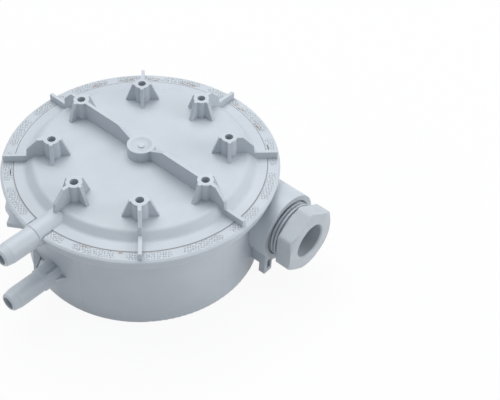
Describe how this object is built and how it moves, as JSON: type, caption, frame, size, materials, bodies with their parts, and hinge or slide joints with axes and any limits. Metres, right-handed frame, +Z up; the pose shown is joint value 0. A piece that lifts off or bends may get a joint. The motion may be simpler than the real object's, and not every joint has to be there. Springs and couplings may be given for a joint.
{
  "type": "air pressure switch",
  "caption": "Round plastic low pressure switch: ribbed lid with screw bosses, two hose nipples, side cable gland, diaphragm, setting spring and microswitch inside.",
  "frame": {"origin": "centre of the flat underside, on the axis of the round housing", "axes": "+Z up the axis from the bottom cover to the lid's bosses, +X towards the boss across from the wall lug; the nipples point to azimuth -135 degrees and the gland to -45 degrees"},
  "size_m": [0.1142, 0.0962, 0.0469],
  "materials": {
    "housing": "fine matt moulded surface, light blue grey",
    "silicone": "matt",
    "plate": "stamped, satin",
    "white_plastic": "smooth moulded",
    "rubber": "matt",
    "spring_steel": "drawn wire",
    "dial_plastic": "smooth moulded",
    "screw_steel": "zinc plated",
    "switch_plastic": "smooth moulded",
    "button_plastic": "smooth moulded",
    "contact_brass": "stamped"
  },
  "bodies": {
    "housing": {"body": "housing", "lid": "housing", "diaphragm": "silicone", "pin_bush": "rubber", "range_spring": "spring_steel", "switch_carrier": "plate", "carrier_screws": "screw_steel", "switch_case": "switch_plastic", "switch_cover": "switch_plastic", "common_terminal": "contact_brass", "open_terminal": "contact_brass", "closed_terminal": "contact_brass", "terminal_screws": "screw_steel", "switch_screws": "screw_steel", "gland_seal": "rubber", "bottom_cover": "housing", "cover_gasket": "rubber", "cover_screws": "screw_steel"},
    "diaphragm_stack": {"upper_plate": "plate", "lower_plate": "plate", "centre_rivet": "plate", "switch_pin": "white_plastic"},
    "button": {"switch_button": "button_plastic"},
    "blade": {"snap_blade": "contact_brass"},
    "dial": {"setting_dial": "dial_plastic", "dial_clip": "spring_steel", "dial_o_ring": "rubber"},
    "seat": {"spring_seat": "white_plastic"},
    "pressure_washer": {"gland_washer": "screw_steel"},
    "compression_screw": {"gland_screw": "housing"}
  },
  "joints": [
    {"name": "diaphragm_stroke", "type": "slide", "parent": "housing", "child": "diaphragm_stack", "axis": [0, 0, -1], "range_m": [0, 0.0006], "stiffness_N_per_m": 400, "springref_m": -0.004, "deforming": ["diaphragm", "range_spring"]},
    {"name": "button_travel", "type": "slide", "parent": "housing", "child": "button", "axis": [0, 0, -1], "range_m": [0, 0.0006]},
    {"name": "blade_rock", "type": "hinge", "parent": "housing", "child": "blade", "pos_m": [-0.0148, 0.02085, 0.0179], "axis": [0, 1, 0], "range_deg": [0, 3.85]},
    {"name": "dial_turn", "type": "hinge", "parent": "housing", "child": "dial", "pos_m": [0, 0, 0.007], "axis": [0, 0, 1], "range_deg": [0, 270]},
    {"name": "seat_lift", "type": "slide", "parent": "housing", "child": "seat", "axis": [0, 0, 1], "range_m": [0, 0.003], "deforming": ["range_spring"]},
    {"name": "gland_advance", "type": "slide", "parent": "housing", "child": "pressure_washer", "axis": [-0.7071, 0.7071, 0], "range_m": [0, 0.00212], "deforming": ["gland_seal"]},
    {"name": "gland_turn", "type": "hinge", "parent": "pressure_washer", "child": "compression_screw", "pos_m": [0.05197, -0.01973, 0.0206], "axis": [-0.7071, 0.7071, 0], "range_deg": [0, 540]}
  ],
  "couplings": [
    {"joint": "button_travel", "follows": "diaphragm_stroke", "ratio": 1},
    {"joint": "blade_rock", "follows": "diaphragm_stroke", "rad_per_m": 110.9},
    {"joint": "seat_lift", "follows": "dial_turn", "m_per_rad": 0.0006366},
    {"joint": "gland_advance", "follows": "gland_turn", "m_per_rad": 0.0002244}
  ]
}
